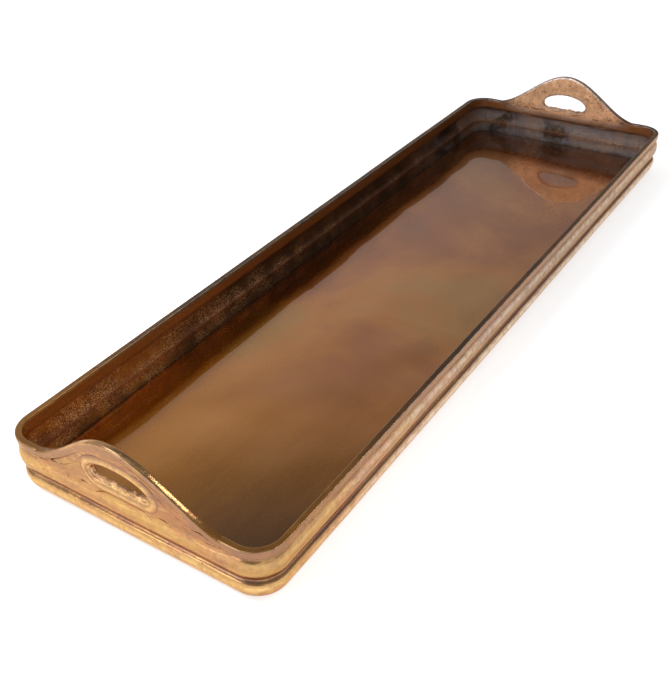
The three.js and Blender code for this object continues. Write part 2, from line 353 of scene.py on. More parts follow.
def cloud(tree, where, scale, detail=3.0, roughness=0.55, distortion=0.0):
    """Soft noise from 0 to 1; scale is in patches per metre."""
    node = tree.nodes.new("ShaderNodeTexNoise")
    tree.links.new(where, node.inputs["Vector"])
    node.inputs["Scale"].default_value = scale
    node.inputs["Detail"].default_value = detail
    node.inputs["Roughness"].default_value = roughness
    node.inputs["Distortion"].default_value = distortion
    return node.outputs["Fac"]


def cells(tree, where, scale):
    """Distance to the nearest of many scattered points, for pits."""
    node = tree.nodes.new("ShaderNodeTexVoronoi")
    tree.links.new(where, node.inputs["Vector"])
    node.inputs["Scale"].default_value = scale
    return node.outputs["Distance"]


def distance(tree, point):
    """Distance in metres from a point of the tray."""
    node = tree.nodes.new("ShaderNodeVectorMath")
    node.operation = "DISTANCE"
    tree.links.new(place(tree), node.inputs[0])
    node.inputs[1].default_value = point
    return node.outputs["Value"]


def sums(tree, operation, a, b, clamp=False):
    """Any sum of two numbers, such as ADD, MULTIPLY or MAXIMUM."""
    node = tree.nodes.new("ShaderNodeMath")
    node.operation = operation
    node.use_clamp = clamp
    feed(tree, node.inputs[0], a)
    feed(tree, node.inputs[1], b)
    return node.outputs[0]


def spread(tree, value, low, high, to_low=0.0, to_high=1.0):
    """Maps low..high smoothly to to_low..to_high."""
    node = tree.nodes.new("ShaderNodeMapRange")
    node.interpolation_type = "SMOOTHSTEP"
    for name, number in (("From Min", low), ("From Max", high), ("To Min", to_low), ("To Max", to_high)):
        node.inputs[name].default_value = number
    tree.links.new(value, node.inputs["Value"])
    return node.outputs["Result"]


def tones(tree, value, stops):
    """A colour ramp; stops are (place, colour)."""
    node = tree.nodes.new("ShaderNodeValToRGB")
    ramp = node.color_ramp
    while len(ramp.elements) < len(stops):
        ramp.elements.new(0.5)
    for element, (spot, colour) in zip(ramp.elements, stops):
        element.position = spot
        element.color = (*colour, 1.0)
    tree.links.new(value, node.inputs["Fac"])
    return node.outputs["Color"]


def blend(tree, share, a, b, mode="MIX"):
    """Mixes two colours by share, or multiplies and so on by mode."""
    node = tree.nodes.new("ShaderNodeMix")
    node.data_type = "RGBA"
    node.blend_type = mode
    feed(tree, node.inputs[0], share)
    feed(tree, node.inputs[6], a)
    feed(tree, node.inputs[7], b)
    return node.outputs[2]


def between(tree, share, a, b):
    """Mixes two numbers by share."""
    node = tree.nodes.new("ShaderNodeMix")
    node.data_type = "FLOAT"
    feed(tree, node.inputs[0], share)
    feed(tree, node.inputs[2], a)
    feed(tree, node.inputs[3], b)
    return node.outputs[0]


def mark(tree, name):
    """Reads one of the marks that the vertices carry."""
    node = tree.nodes.new("ShaderNodeAttribute")
    node.attribute_name = name
    return node.outputs["Fac"]


def relief(tree, height, depth, under=None):
    """Bump of height 0..1 that is depth metres deep."""
    node = tree.nodes.new("ShaderNodeBump")
    node.inputs["Strength"].default_value = 1.0
    node.inputs["Distance"].default_value = depth
    tree.links.new(height, node.inputs["Height"])
    if under is not None:
        tree.links.new(under, node.inputs["Normal"])
    return node.outputs["Normal"]


# %% [markdown]
# ### Cast brass
# Outside, the casting was ground and polished, then toned and lacquered: gold where it is worn, with painted
# highlights on its crowns and edges, copper and mauve where the tone stayed, painted shade in the creases,
# with pits where gas or sand marked the pour. Inside, it still has its sand grain under a dark tone, and
# only the tips of the grain shine, from wear and from a painted glint. One shader holds both, and the
# inner_side mark crosses between them, so the change follows the edge of the lip.

# %% Colours of the brass
GOLD = (0.52, 0.285, 0.085)
# Pale gold of real streaks, and of wear with a painted highlight at the rear end.
PALE_GOLD_STREAK_AND_HIGHLIGHT = (0.80, 0.52, 0.21)
# Nearly white: a painted reflection of the bright floor, mostly on the rails' lower band.
PALE_GREY_FLOOR_REFLECTION = (0.94, 0.86, 0.77)
COPPER = (0.45, 0.190, 0.080)
MAUVE = (0.27, 0.135, 0.090)
GREY_BROWN = (0.18, 0.12, 0.10)
LIP_BROWN = (0.27, 0.108, 0.018)
RAIL_LIP_BROWN = (0.11, 0.040, 0.007)
LIP_DARK = (0.045, 0.018, 0.006)
LIP_RED = (0.30, 0.095, 0.014)
# Painted shade in creases, grooves, gaps and the slot, and the real colour of pits and dark specks.
SHADE_AND_PIT_BROWN = (0.085, 0.042, 0.022)
# Bright grain tips: part wear, part a painted glint.
GRAIN_TIP = (0.88, 0.50, 0.22)
# Lighter brown of the inner ridge: part wear, part a painted highlight.
RIDGE_BROWN = (0.27, 0.115, 0.065)
BRIGHT_COPPER = (0.96, 0.56, 0.29)
BROWNED_COPPER = (0.42, 0.155, 0.04)
COAT_WEIGHT = 0.14
LIGHT_INSIDE = [(0.36, (0.14, 0.040, 0.003)), (0.47, (0.30, 0.092, 0.006)), (0.60, (0.40, 0.13, 0.010)),
                (0.74, (0.50, 0.19, 0.030))]
WARM_INSIDE = [(0.36, (0.008, 0.003, 0.001)), (0.47, (0.032, 0.008, 0.001)), (0.60, (0.07, 0.019, 0.003)),
               (0.74, (0.16, 0.055, 0.012))]
GREY_INSIDE = [(0.36, (0.018, 0.015, 0.016)), (0.46, (0.20, 0.175, 0.18)), (0.54, (0.30, 0.24, 0.22)),
               (0.66, (0.42, 0.20, 0.10))]


# %% Colour of the polished outside
def tray_share(tree, low, high, most=1.0):
    """From 0 to most along the tray, from x = low to x = high."""
    split = tree.nodes.new("ShaderNodeSeparateXYZ")
    tree.links.new(place(tree), split.inputs["Vector"])
    return spread(tree, split.outputs["X"], low, high, 0.0, most)


def polished_colour(tree, where):
    """Drifts of gold, copper and mauve; the metal is duller and greyer towards the front end."""
    drift = cloud(tree, where, 12.0, 3.0, 0.6, 0.8)
    colour = tones(tree, drift, [(0.30, MAUVE), (0.42, COPPER), (0.52, GOLD), (0.62, COPPER), (0.74, GOLD)])
    streaks = cloud(tree, place(tree, (0.2, 0.7, 0.1), (0.55, 0.55, 4.5)), 44.0, 4.0, 0.6, 0.4)
    colour = blend(tree, spread(tree, streaks, 0.55, 0.72, 0.0, 0.65), colour, PALE_GOLD_STREAK_AND_HIGHLIGHT)
    colour = blend(tree, spread(tree, streaks, 0.46, 0.30, 0.0, 0.75), colour, MAUVE)
    patches = spread(tree, cloud(tree, where, 23.0, 4.0, 0.65), 0.38, 0.68)
    dull_end = sums(tree, "MULTIPLY", tray_share(tree, -0.36, 0.10), 0.66)
    dull_patches = sums(tree, "MULTIPLY", patches, 0.18)
    dull = sums(tree, "ADD", dull_end, dull_patches, clamp=True)
    colour = blend(tree, dull, colour, GREY_BROWN)
    mottle = spread(tree, cloud(tree, where, 120.0, 5.0, 0.7), 0.3, 0.7, 0.80, 1.10)
    return blend(tree, 1.0, colour, tones(tree, mottle, [(0.0, (0, 0, 0)), (1.0, (1, 1, 1))]), "MULTIPLY")


def toned_colour(tree, where, bare):
    """Half toned metal is mauve, fully toned metal is a golden brown with nearly black stains."""
    toned = mark(tree, "toned")
    stains = spread(tree, cloud(tree, where, 26.0, 5.0, 0.65), 0.38, 0.60)
    more = between(tree, tray_share(tree, -0.33, -0.1), 0.25, 0.95)
    brown = blend(tree, tray_share(tree, -0.38, -0.20), LIP_BROWN, RAIL_LIP_BROWN)
    brown = blend(tree, sums(tree, "MULTIPLY", stains, more), brown, LIP_DARK)
    uneven = spread(tree, cloud(tree, where, 55.0, 4.0, 0.6), 0.3, 0.65, 0.5, 1.0)
    half = sums(tree, "MULTIPLY", spread(tree, toned, 0.0, 0.5), uneven)
    return blend(tree, spread(tree, toned, 0.5, 0.95), blend(tree, half, bare, MAUVE), brown)


def broken_mark(tree, where, name, scale, low, high):
    """A mark broken up by noise, so that its wear isn't even."""
    breakup = spread(tree, cloud(tree, where, scale, 4.0, 0.65), low, high, 0.35, 1.0)
    return sums(tree, "MULTIPLY", mark(tree, name), breakup, clamp=True)


# %% Colour of the rough inside
def sand_colour(tree, where, grain):
    """Dark toned metal, warm along the tray, grey at its front end; grain tips shine by wear and a painted
    glint.
    """
    patches = cloud(tree, where, 16.0, 4.0, 0.65, 0.6)
    grey = tray_share(tree, 0.20, 0.39)
    warm = blend(tree, tray_share(tree, -0.36, -0.14), tones(tree, patches, LIGHT_INSIDE),
                 tones(tree, patches, WARM_INSIDE))
    colour = blend(tree, grey, warm, tones(tree, patches, GREY_INSIDE))
    towards_rear = tray_share(tree, 0.05, -0.30)
    tips = spread(tree, grain, 0.47, 0.60)
    worn = spread(tree, cloud(tree, where, 34.0, 3.0, 0.6), 0.36, 0.62, 0.15, 1.0)
    low_down = sums(tree, "ADD", sums(tree, "MULTIPLY", towards_rear, 0.55), 0.25)
    low_down = sums(tree, "ADD", low_down, sums(tree, "MULTIPLY", mark(tree, "wear_and_highlight"), 1.6), clamp=True)
    shining = sums(tree, "MULTIPLY", sums(tree, "MULTIPLY", tips, worn), low_down)
    return blend(tree, shining, colour, GRAIN_TIP)


# %% Colour of the outside and the inside
def outside_colour(tree, where, drawn, handle_inside, wear_and_highlight):
    """Polished and toned metal, pale with wear and painted highlight; the handle's inner face is browned
    copper.
    """
    browned = spread(tree, cloud(tree, where, 38.0, 4.0, 0.65), 0.42, 0.70, 0.0, 0.70)
    copper_face = blend(tree, browned, BRIGHT_COPPER, BROWNED_COPPER)
    colour = blend(tree, handle_inside, polished_colour(tree, drawn), copper_face)
    colour = toned_colour(tree, where, colour)
    # Worn places and painted highlights turn pale: gold at the rear end, elsewhere nearly white as a painted
    # reflection of the floor.
    pale = blend(tree, tray_share(tree, -0.38, -0.20), PALE_GOLD_STREAK_AND_HIGHLIGHT, PALE_GREY_FLOOR_REFLECTION)
    colour = blend(tree, sums(tree, "MULTIPLY", wear_and_highlight, 0.9), colour, pale)
    pores = spread(tree, cloud(tree, where, 360.0, 4.0, 0.75), 0.53, 0.68)
    speckled = sums(tree, "MULTIPLY", pores, between(tree, handle_inside, 0.15, 0.80))
    return blend(tree, speckled, colour, SHADE_AND_PIT_BROWN)


def inside_colour(tree, where, wear_and_highlight, grain):
    """Grained metal, brown on the ridge by wear and a painted highlight, and red under the lip."""
    ridge = sums(tree, "MULTIPLY", wear_and_highlight, 1.3, clamp=True)
    colour = blend(tree, ridge, sand_colour(tree, where, grain), RIDGE_BROWN)
    return blend(tree, spread(tree, mark(tree, "toned"), 0.15, 0.5, 0.0, 0.85), colour, LIP_RED)


# %% Gloss and relief of the brass
def brass_roughness(tree, drawn, side, wear_and_highlight, hollow_shade):
    """Smoother where hands rub it, rougher in the creases, towards the front end and inside."""
    worn = spread(tree, cloud(tree, drawn, 75.0, 5.0, 0.7), 0.3, 0.7, 0.17, 0.30)
    worn = sums(tree, "ADD", worn, sums(tree, "MULTIPLY", tray_share(tree, -0.36, 0.25), 0.06))
    smooth_outside = sums(tree, "SUBTRACT", worn, sums(tree, "MULTIPLY", wear_and_highlight, 0.10))
    rough = between(tree, spread(tree, side, 0.15, 0.40), smooth_outside, 0.34)
    return sums(tree, "ADD", rough, sums(tree, "MULTIPLY", hollow_shade, 0.18))


def brass_relief(tree, drawn, side, grain, pit_share):
    """Sand grain, strong inside and faint outside, under a slow ripple and the pits."""
    fine = sums(tree, "MULTIPLY", grain, spread(tree, side, 0.05, 0.9, 0.04, 1.0))
    bumps = relief(tree, fine, 0.0016)
    waves = cloud(tree, drawn, 95.0, 2.0, 0.5)
    ripple = sums(tree, "MULTIPLY", waves, spread(tree, side, 0.1, 0.4, 1.0, 0.25))
    bumps = relief(tree, ripple, 0.0005, under=bumps)
    return relief(tree, pit_share, -0.0003, under=bumps)


# %% Cast brass
def cast_brass(name):
    material, tree, shader = new_finish(name)
    where = place(tree)
    drawn = place(tree, stretch=(0.7, 0.7, 1.9))
    side = mark(tree, "inner_side")
    inner = spread(tree, side, 0.45, 0.75)
    handle_inside = sums(tree, "MULTIPLY", spread(tree, side, 0.15, 0.40), spread(tree, side, 0.75, 0.45))
    wear_and_highlight = broken_mark(tree, where, "wear_and_highlight", 160.0, 0.34, 0.62)
    hollow_shade = broken_mark(tree, where, "hollow_shade", 90.0, 0.35, 0.65)
    grain = cloud(tree, where, 900.0, 3.0, 0.62)
    pits = spread(tree, cells(tree, where, 260.0), 0.10, 0.19, 1.0, 0.0)
    pitted = spread(tree, cloud(tree, where, 31.0, 3.0, 0.6), 0.56, 0.68)
    pit_share = sums(tree, "MULTIPLY", pits, pitted)

    outside = outside_colour(tree, where, drawn, handle_inside, wear_and_highlight)
    colour = blend(tree, inner, outside, inside_colour(tree, where, wear_and_highlight, grain))
    # Painted shade darkens the creases, grooves, gaps and the slot.
    colour = blend(tree, sums(tree, "MULTIPLY", hollow_shade, 0.8), colour, SHADE_AND_PIT_BROWN)
    feed(tree, shader.inputs["Base Color"], blend(tree, pit_share, colour, SHADE_AND_PIT_BROWN))
    patina = spread(tree, mark(tree, "toned"), 0.5, 0.95, 1.0, 0.5)
    feed(tree, shader.inputs["Metallic"], between(tree, inner, patina, 0.8))
    feed(tree, shader.inputs["Roughness"], brass_roughness(tree, drawn, side, wear_and_highlight, hollow_shade))
    feed(tree, shader.inputs["Normal"], brass_relief(tree, drawn, side, grain, pit_share))
    shader.inputs["Specular Tint"].default_value = (1.0, 0.78, 0.58, 1.0)
    shader.inputs["Coat Weight"].default_value = COAT_WEIGHT
    shader.inputs["Coat Roughness"].default_value = 0.12
    return material


END_BRASS = cast_brass("polished_end_brass")
RAIL_BRASS = cast_brass("polished_rail_brass")
print("brass", END_BRASS.name, len(END_BRASS.node_tree.nodes), "nodes")

# %% [markdown]
# ### Lacquered floor
# The floor is a smooth sheet, toned with heat and chemicals in broad clouds of red, olive and orange brown,
# then lacquered. The sheet itself is a dark metal with soft reflections, and the clear coat on the shader
# adds the sharp, colourless ones on top.

# %% Lacquered floor
RED_BROWN = (0.36, 0.100, 0.008)
ORANGE_BROWN = (0.50, 0.175, 0.012)
OLIVE_BROWN = (0.43, 0.190, 0.022)
DARK_BROWN = (0.27, 0.078, 0.006)
SMOKE = (0.20, 0.082, 0.030)
CORNER_DARK_BROWN = (0.060, 0.022, 0.010)
REAR_AMBER = (0.58, 0.215, 0.010)
FRONT_BROWN = (0.25, 0.085, 0.012)


def lacquered_floor():
    material, tree, shader = new_finish("lacquered_floor_patina")
    where = place(tree, (0.4, 0.1, 0.0))
    clouds = cloud(tree, where, 4.2, 4.0, 0.55, 0.35)
    colour = tones(tree, clouds, [(0.30, DARK_BROWN), (0.42, RED_BROWN), (0.52, ORANGE_BROWN),
                                  (0.62, OLIVE_BROWN), (0.75, ORANGE_BROWN)])
    smoke_place = place(tree, (1.7, 0.6, 0.0), (1.0, 1.6, 1.0))
    smoke = spread(tree, cloud(tree, smoke_place, 9.0, 5.0, 0.62, 0.5), 0.56, 0.74)
    colour = blend(tree, sums(tree, "MULTIPLY", smoke, 0.25), colour, SMOKE)
    colour = blend(tree, tray_share(tree, -0.10, -0.36), colour, REAR_AMBER)
    colour = blend(tree, tray_share(tree, 0.15, 0.38, 0.75), colour, FRONT_BROWN)
    # The sheet is darker towards the rear right corner.
    corner = spread(tree, distance(tree, (-0.43, -0.15, 0.0)), 0.05, 0.26, 0.85, 0.0)
    colour = blend(tree, corner, colour, CORNER_DARK_BROWN)
    brushed = cloud(tree, place(tree, stretch=(0.25, 1.0, 1.0)), 150.0, 5.0, 0.7)
    fleck = cloud(tree, where, 480.0, 4.0, 0.7)
    grain = sums(tree, "ADD", sums(tree, "MULTIPLY", brushed, 0.5), sums(tree, "MULTIPLY", fleck, 0.5))
    shade = tones(tree, grain, [(0.30, (0.82, 0.80, 0.78)), (0.70, (1.0, 1.0, 1.0))])
    feed(tree, shader.inputs["Base Color"], blend(tree, 1.0, colour, shade, "MULTIPLY"))
    shader.inputs["Metallic"].default_value = 1.0
    feed(tree, shader.inputs["Roughness"], spread(tree, grain, 0.3, 0.7, 0.20, 0.30))
    shader.inputs["Coat Weight"].default_value = 1.0
    shader.inputs["Coat Roughness"].default_value = 0.03
    shader.inputs["Coat IOR"].default_value = 1.5
    feed(tree, shader.inputs["Normal"], relief(tree, grain, 0.00002))
    return material


FLOOR_PATINA = lacquered_floor()
print("floor", FLOOR_PATINA.name, len(FLOOR_PATINA.node_tree.nodes), "nodes")

# %% [markdown]
# ### Bar brass and felt
# The bar under the floor was left as it was rolled and filed, dull and a little stained. The pads are
# pressed wool felt: thousands of fibres that lie every way, which a fine stretched noise and a sheen
# suggest.

# %% Bar and felt
BAR_TONES = [(0.32, (0.12, 0.07, 0.035)), (0.5, (0.34, 0.22, 0.10)), (0.7, (0.50, 0.34, 0.16))]
WOOL_TONES = [(0.40, (0.012, 0.010, 0.009)), (0.70, (0.060, 0.050, 0.042))]
WOOL_CLUMP = (0.03, 0.024, 0.02)
WOOL_FIBRES = (3400.0, 4.0, 0.8, 1.2)


def filed_bar():
    material, tree, shader = new_finish("filed_bar_brass")
    where = place(tree)
    stains = cloud(tree, where, 45.0, 5.0, 0.65, 0.4)
    filing = cloud(tree, place(tree, stretch=(1.0, 0.04, 1.0)), 1500.0, 3.0, 0.6)
    feed(tree, shader.inputs["Base Color"], tones(tree, stains, BAR_TONES))
    shader.inputs["Metallic"].default_value = 1.0
    feed(tree, shader.inputs["Roughness"], spread(tree, stains, 0.3, 0.7, 0.52, 0.34))
    feed(tree, shader.inputs["Normal"], relief(tree, filing, 0.00006))
    return material


def pressed_felt():
    material, tree, shader = new_finish("pressed_felt")
    fibres = cloud(tree, place(tree, stretch=(1.0, 0.25, 1.0)), *WOOL_FIBRES)
    crossed = cloud(tree, place(tree, stretch=(0.25, 1.0, 1.0)), *WOOL_FIBRES)
    wool = sums(tree, "MAXIMUM", fibres, crossed)
    clumps = cloud(tree, place(tree), 420.0, 3.0, 0.6)
    clumped = sums(tree, "MULTIPLY", clumps, 0.4)
    feed(tree, shader.inputs["Base Color"], blend(tree, clumped, tones(tree, wool, WOOL_TONES), WOOL_CLUMP))
    shader.inputs["Roughness"].default_value = 0.95
    shader.inputs["Sheen Weight"].default_value = 0.35
    shader.inputs["Sheen Roughness"].default_value = 0.5
    feed(tree, shader.inputs["Normal"], relief(tree, wool, 0.0003))
    return material


BAR_BRASS = filed_bar()
FELT = pressed_felt()
print("finishes", [m.name for m in (END_BRASS, RAIL_BRASS, FLOOR_PATINA, BAR_BRASS, FELT)])

# %% [markdown]
# ## The handle
# Each handle is a thin wall of metal that arches up out of the lip, with one slot for the fingers. A
# boolean cut would leave the slot without a rounded edge, so the handle is grown outwards from the slot
# instead: a ring of vertices with the slot's outline is extruded again and again, over a rounded collar,
# out to the arch, round its edge, and back inside to where it began. Its lower edge is buried in the wall.

# %% Outlines of the slot and the arch
HANDLE_HALF = 93.0 * MM
PATCH_HALF = 102.0 * MM
HANDLE_FULLNESS = 0.88
HANDLE_LEAN = 4.2 * MM
SLOT_HALF = 28.3 * MM
SLOT_LOW = 1.8 * MM
SLOT_HIGH = 21.5 * MM
SLOT_END = 9.0 * MM
SLOT_FLAT = 0.62
SLOT_FLAT_SHARE = 0.6
TOP_POINTS = 60
LOW_POINTS = 34
TIP_POINTS = 2
TIP_TOP_POINTS = 5
TIP_SHARE = 0.85
OUTER_SAG = 10.0 * MM
INNER_SAG = 6.0 * MM
BURIED_OUTSIDE = -17.0 * MM
BURIED_INSIDE = -9.0 * MM


def arch_height(y):
    t = min(abs(y) / HANDLE_HALF, 1.0)
    return HANDLE_RISE * (0.5 + 0.5 * math.cos(math.pi * t)) ** HANDLE_FULLNESS


def bezier(a, b, c, d, t):
    s = 1 - t
    return a * s ** 3 + b * (3 * s * s * t) + c * (3 * s * t * t) + d * t ** 3


def slot_quarter(top, t):
    """A point of the slot's right half in (y, height); t runs from its middle to its end."""
    end = Vector((SLOT_HALF, SLOT_END))
    if top:
        return bezier(Vector((0, SLOT_HIGH)), Vector((SLOT_HALF * 0.5, SLOT_HIGH)),
                      end + Vector((0, 7.0 * MM)), end, t)
    flat = SLOT_HALF * SLOT_FLAT
    if t < SLOT_FLAT_SHARE:
        return Vector((flat * t / SLOT_FLAT_SHARE, SLOT_LOW))
    return bezier(Vector((flat, SLOT_LOW)), Vector((SLOT_HALF * 0.88, SLOT_LOW)),
                  Vector((SLOT_HALF, SLOT_LOW)), end, (t - SLOT_FLAT_SHARE) / (1 - SLOT_FLAT_SHARE))


def arch_quarter(top, t, buried):
    """A point of the handle's right half outline in (y, height), matched to the slot's."""
    end_share = TIP_TOP_POINTS / TOP_POINTS if top else TIP_POINTS / LOW_POINTS
    down = max(0.0, (t - 1) / end_share + 1)
    y = PATCH_HALF * min(1.0, t / (1 - end_share))
    tip = buried * TIP_SHARE
    if top:
        return Vector((y, arch_height(y) + tip * down))
    return Vector((y, buried + (tip - buried) * down))


def full_outline(quarter):
    """Joins the quarters into one closed list, clockwise from the middle of the top, seen from outside."""
    top = [quarter(True, i / TOP_POINTS) for i in range(TOP_POINTS + 1)]
    low = [quarter(False, i / LOW_POINTS) for i in range(LOW_POINTS)]
    right = top[1:] + low[::-1]
    left = [Vector((-p.x, p.y)) for p in right[-2::-1]]
    return [top[0]] + right + left


def outward_normals(points):
    """Unit normals of a closed outline that runs clockwise seen from outside the tray."""
    normals = []
    for i, point in enumerate(points):
        along = points[(i + 1) % len(points)] - points[i - 1]
        normals.append(Vector((-along.y, along.x)).normalized())
    return normals


SLOT = full_outline(slot_quarter)
SLOT_OUT = outward_normals(SLOT)
print("points round the slot", len(SLOT))

# %% Faces of the handle
COLLAR_REACH = 10.0 * MM
COLLAR_HEIGHT = 1.9 * MM
EDGE_REACH = 9.5 * MM
EDGE_ROUND = 1.5 * MM
SLOT_ROUND = 1.7 * MM
INNER_ROUND = 1.0 * MM
PROUD = 0.06 * MM
THICKNESS = 5.5 * MM
CRUST = 0.75 * MM
FOOT_DROP = 0.4 * MM
TIP_CLEARANCE = 0.3 * MM
# The slot's walls are darkened by painted shade.
SLOT_WALL_MARKS = (0.05, 0.70, 0.42, 0.0)


def smooth(low, high, value):
    t = min(1.0, max(0.0, (value - low) / (high - low)))
    return t * t * (3 - 2 * t)


def below_arch(place):
    """How far a place (y, height) lies inside the arch's edge, square to it."""
    step = 0.5 * MM
    slope = (arch_height(place.x + step) - arch_height(place.x - step)) / (2 * step)
    return (arch_height(place.x) - place.y) / math.sqrt(1 + slope * slope)


def wall_profile(depth):
    """How far the wall stands from the lip's face at a depth below its edge, down to the band's crown."""
    if depth < CREASE_DEPTH:
        return -CREASE_INSET * smooth(LIP_FACE - 0.5 * MM, CREASE_DEPTH, depth)
    t = min(0.5, (depth - CREASE_DEPTH) / (GROOVE_TOP - CREASE_DEPTH))
    bow = UPPER_BULGE + (CREASE_INSET + GROOVE_INSET) / 2
    return -CREASE_INSET + (CREASE_INSET - GROOVE_INSET) * t + bow * 4 * t * (1 - t)


def crease_strength(y):
    """The crease is whole at the handle's feet, fades towards its top and is fainter on one side."""
    hand = 1 - smooth(-35 * MM, 45 * MM, y)
    inner_part = 0.14 + (0.16 + 0.42 * hand) * smooth(5 * MM, 60 * MM, abs(y))
    foot = smooth(52 * MM, 84 * MM, abs(y))
    return inner_part + (1 - inner_part) * foot


def outer_relief(place):
    """The outer face's height over the lip's face; it sinks into the wall at its low edge and tips."""
    dive = 0.5 * (1 - smooth(0.0, 6.0 * MM, place.y - BURIED_OUTSIDE))
    tip = 0.3 * smooth(90 * MM, 101 * MM, abs(place.x))
    arch = min(0.0, wall_profile(below_arch(place))) * crease_strength(place.x)
    wall = wall_profile(max(0.0, -place.y))
    low = smooth(7.0 * MM, 12.0 * MM, -place.y)
    return PROUD + arch + (wall - arch) * low - (dive + tip) * MM


def outer_marks(place):
    """Marks of the outer face: painted shade in the crease, and tone on the band over it."""
    depth = below_arch(place)
    painted_shade = 0.18 * math.exp(-((depth - CREASE_DEPTH) / (2.0 * MM)) ** 2) * crease_strength(place.x)
    band = 1 - smooth(6.5 * MM, 9.5 * MM, depth)
    under = smooth(9.0 * MM, 12.5 * MM, -place.y)
    return (0.08 + 0.2 * under, painted_shade, 0.0, 0.18 + 0.30 * band - 0.18 * under)


def inner_relief(place):
    """The inner face lies on the lip's inner face and sinks into it at its feet and its lower edge."""
    dive = 0.3 * (1 - smooth(0.0, 8.0 * MM, place.y - BURIED_INSIDE))
    tip = 0.2 * smooth(84 * MM, 101 * MM, abs(place.x))
    return PROUD - (dive + tip) * MM


def inner_marks(place):
    """The inner face is bare copper brass; towards the feet it takes on the toned wall's colour."""
    low = 0.45 * smooth(0.5 * MM, 8.0 * MM, -place.y)
    share = low + (1 - low) * toned_share(place.x)
    return (0.12 * (1 - share), 0.0, 0.42 + 0.48 * share, 0.1 + 0.5 * share)


def toned_share(y):
    """0 across the handle, 1 beyond its feet, where the lip's inner face keeps its dark tone."""
    return smooth(58 * MM, 112 * MM, abs(y))


def edge_marks(up, side=0.0):
    """Marks of the rounded edge: wear and a painted highlight on the arch, toned like the lip's top at the
    feet.
    """
    def marks(place):
        foot = smooth(45 * MM, 86 * MM, abs(place.x))
        return (0.55 * (1 - foot) * (0.5 + 0.5 * up), 0.0, side, 0.45 + 0.15 * up + 0.40 * foot)
    return marks


def collar_share(i):
    """The collar is full over the slot and fades under it."""
    return 0.45 + 0.55 * smooth(-0.55, 0.25, SLOT_OUT[i].y)


def collar_lift(distance):
    bump = 0.5 - 0.5 * math.cos(2 * math.pi * min(distance / COLLAR_REACH, 1.0) ** 0.85)
    return COLLAR_HEIGHT * bump


def crust_at(i, point, inset):
    """Rough metal that was left under the fingers, where the file didn't reach."""
    low = 1 - smooth(-0.6, 0.35, SLOT_OUT[i].y)
    spot = Vector((point.x, point.y, inset))
    ragged = noise.noise(spot * 330.0) + 0.7 * noise.noise(spot * 900.0)
    heaped = 2.6 * smooth(0.5 * MM, 3.4 * MM, inset)
    return low * (heaped + ragged * 1.6) + 0.12 * ragged


# %% Places of one ring
def edge_room(face, low_side):
    """The share of the height over the buried edge that the arch's rounded edge may take."""
    if low_side:
        return 0.2
    return 0.64 if face == "outer" else 0.3


def ring_places(face, zone, measure, inset=0.0, collar=0.0, crust=0.0):
    """Places of one ring; zone is 'slot', 'edge' or 'between', and inset moves it into the metal."""
    buried, sag = (BURIED_OUTSIDE, OUTER_SAG) if face == "outer" else (BURIED_INSIDE, INNER_SAG)
    outline = full_outline(lambda top, t: arch_quarter(top, t, buried))
    outline_out = outward_normals(outline)
    places = []
    for i, slot_point in enumerate(SLOT):
        edge_point = outline[i]
        span = (edge_point - slot_point).length
        squeeze = min(1.0, span / (COLLAR_REACH + EDGE_REACH + 1 * MM))
        height = arch_height(edge_point.x) - buried
        to_tip = PATCH_HALF - abs(edge_point.x) + TIP_CLEARANCE
        room = edge_room(face, edge_point.y < 0)
        edge_squeeze = min(squeeze, room * height / EDGE_REACH, 0.8 * to_tip / EDGE_REACH)
        near_slot = slot_point + SLOT_OUT[i] * COLLAR_REACH * squeeze
        near_edge = edge_point - outline_out[i] * EDGE_REACH * edge_squeeze
        if zone == "slot":
            place = slot_point + SLOT_OUT[i] * (measure * squeeze - crust * crust_at(i, slot_point, inset))
        elif zone == "edge":
            place = edge_point - outline_out[i] * measure * edge_squeeze
        else:
            place = near_slot.lerp(near_edge, measure)
            foot = smooth(45 * MM, 80 * MM, abs(edge_point.x))
            place.y -= sag * foot * 4 * measure * (1 - measure)
        place.y -= FOOT_DROP * smooth(82 * MM, 96 * MM, abs(place.x))
        lean = HANDLE_LEAN * (max(place.y, 0.0) / HANDLE_RISE) ** 1.35
        if face == "outer":
            x = HALF_LENGTH + outer_relief(place) + collar * collar_share(i) - inset
        else:
            x = HALF_LENGTH - THICKNESS - inner_relief(place) + inset
        places.append(Vector((x + lean, place.x, LIP_Z + place.y)))
    return places


# %% Rings of the handle, in order
def quarter(steps):
    """Sine and one minus cosine of a quarter turn, in steps."""
    angles = [math.radians(90 * k / steps) for k in range(steps + 1)]
    return [(math.sin(a), 1 - math.cos(a)) for a in angles]


